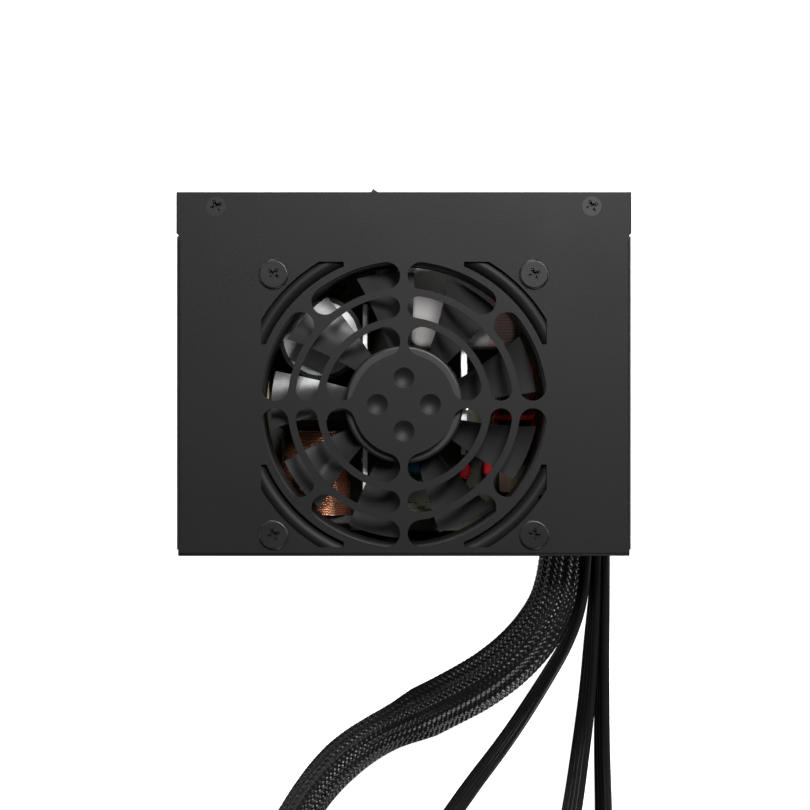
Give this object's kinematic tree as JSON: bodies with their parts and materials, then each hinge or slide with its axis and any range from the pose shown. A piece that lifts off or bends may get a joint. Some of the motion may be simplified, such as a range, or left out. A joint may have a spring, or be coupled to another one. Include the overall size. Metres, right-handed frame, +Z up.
{
  "type": "power supply unit",
  "caption": "Small computer power supply: sheet-metal case with a punched fan grille, mains inlet and rocker, braided main lead and flat ribbon leads with their connectors.",
  "frame": {"origin": "centre of the base underside, with the unit lying on its base", "axes": "+Z up to the fan face, +Y to the mains side, -Y to the side the leads leave"},
  "size_m": [0.2734, 0.3156, 0.0644],
  "materials": {
    "powder_steel": "fine-grain powder coat",
    "black_screw": "satin",
    "fan_plastic": "satin",
    "steel": "satin",
    "ferrite": "matte",
    "brass": "satin",
    "copper": "enamelled wire",
    "black_plastic": "satin",
    "nickel": "bright",
    "rocker_plastic": "semi-gloss",
    "board": "solder mask",
    "film": "matte",
    "aluminium": "satin",
    "sleeve_film": "gloss",
    "tape": "satin",
    "red_enamel": "enamelled wire",
    "cream_plastic": "satin",
    "blue_epoxy": "gloss",
    "fuse_glass": "clear",
    "green_epoxy": "satin",
    "red_epoxy": "gloss",
    "brown_plastic": "satin",
    "wire": "satin",
    "braid": "braided monofilament",
    "ribbon": "ridged, satin",
    "connector_plastic": "satin"
  },
  "bodies": {
    "housing": {"ac_inlet_body": "black_plastic", "ac_inlet_pins": "nickel", "board_pins": "nickel", "board_standoffs": "nickel", "boost_choke_core": "ferrite", "boost_choke_winding": "copper", "bottom_tray": "powder_steel", "bridge_rectifier": "black_plastic", "bulk_capacitor": "aluminium", "bulk_capacitor_sleeve": "sleeve_film", "cable_grommet": "black_plastic", "coil_bases": "black_plastic", "connector_24": "connector_plastic", "connector_cpu": "connector_plastic", "connector_pcie": "connector_plastic", "connectors_sata": "connector_plastic", "control_board": "board", "cover_screws": "black_screw", "cpu_cable": "ribbon", "fan_bearing": "brass", "fan_frame": "fan_plastic", "fan_lead": "wire", "fan_screws": "black_screw", "fan_stator": "copper", "film_capacitors": "red_epoxy", "fuse": "fuse_glass", "inner_screws": "steel", "insulating_sheet": "film", "line_choke_winding": "copper", "main_board": "board", "main_cable": "braid", "mains_wires": "wire", "output_capacitors": "sleeve_film", "output_choke_winding": "red_enamel", "output_wires": "wire", "pcie_cable": "ribbon", "power_transistors": "black_plastic", "primary_heatsink": "aluminium", "relays": "brown_plastic", "ring_cores": "ferrite", "sata_cable": "ribbon", "secondary_heatsink": "aluminium", "standby_transformer": "ferrite", "switch_body": "black_plastic", "switch_terminals": "nickel", "thermistor": "green_epoxy", "top_cover": "powder_steel", "transformer_core": "ferrite", "transformer_winding": "tape", "x_capacitor": "cream_plastic", "y_capacitors": "blue_epoxy"},
    "fan_rotor": {"fan_rotor": "fan_plastic", "fan_shaft": "steel", "fan_magnet": "ferrite"},
    "rocker": {"switch_rocker": "rocker_plastic"},
    "latch_24_lever": {"latch_24": "connector_plastic"},
    "latch_cpu_a_lever": {"latch_cpu_a": "connector_plastic"},
    "latch_cpu_b_lever": {"latch_cpu_b": "connector_plastic"},
    "latch_pcie_lever": {"latch_pcie": "connector_plastic"}
  },
  "joints": [
    {"name": "fan_spin", "type": "hinge", "parent": "housing", "child": "fan_rotor", "pos_m": [0, -0.00833, 0.055], "axis": [0, 0, 1], "continuous": true},
    {"name": "rocker_tilt", "type": "hinge", "parent": "housing", "child": "rocker", "pos_m": [-0.0127, 0.0466, 0.03175], "axis": [0, 0, 1], "range_deg": [-22, 0]},
    {"name": "latch_24_press", "type": "hinge", "parent": "housing", "child": "latch_24_lever", "pos_m": [-0.19272, -0.16589, 0.0099], "axis": [0.0441, -0.999, 0], "range_deg": [-9, 0], "stiffness_Nm_per_rad": 0.05},
    {"name": "latch_cpu_a_press", "type": "hinge", "parent": "housing", "child": "latch_cpu_a_lever", "pos_m": [-0.20404, -0.20012, 0.0099], "axis": [0.0753, -0.9972, 0], "range_deg": [-9, 0], "stiffness_Nm_per_rad": 0.05},
    {"name": "latch_cpu_b_press", "type": "hinge", "parent": "housing", "child": "latch_cpu_b_lever", "pos_m": [-0.20336, -0.20919, 0.0099], "axis": [0.0753, -0.9972, 0], "range_deg": [-9, 0], "stiffness_Nm_per_rad": 0.05},
    {"name": "latch_pcie_press", "type": "hinge", "parent": "housing", "child": "latch_pcie_lever", "pos_m": [-0.20463, -0.22349, 0.0099], "axis": [-0.0416, -0.9991, 0], "range_deg": [-9, 0], "stiffness_Nm_per_rad": 0.05}
  ]
}
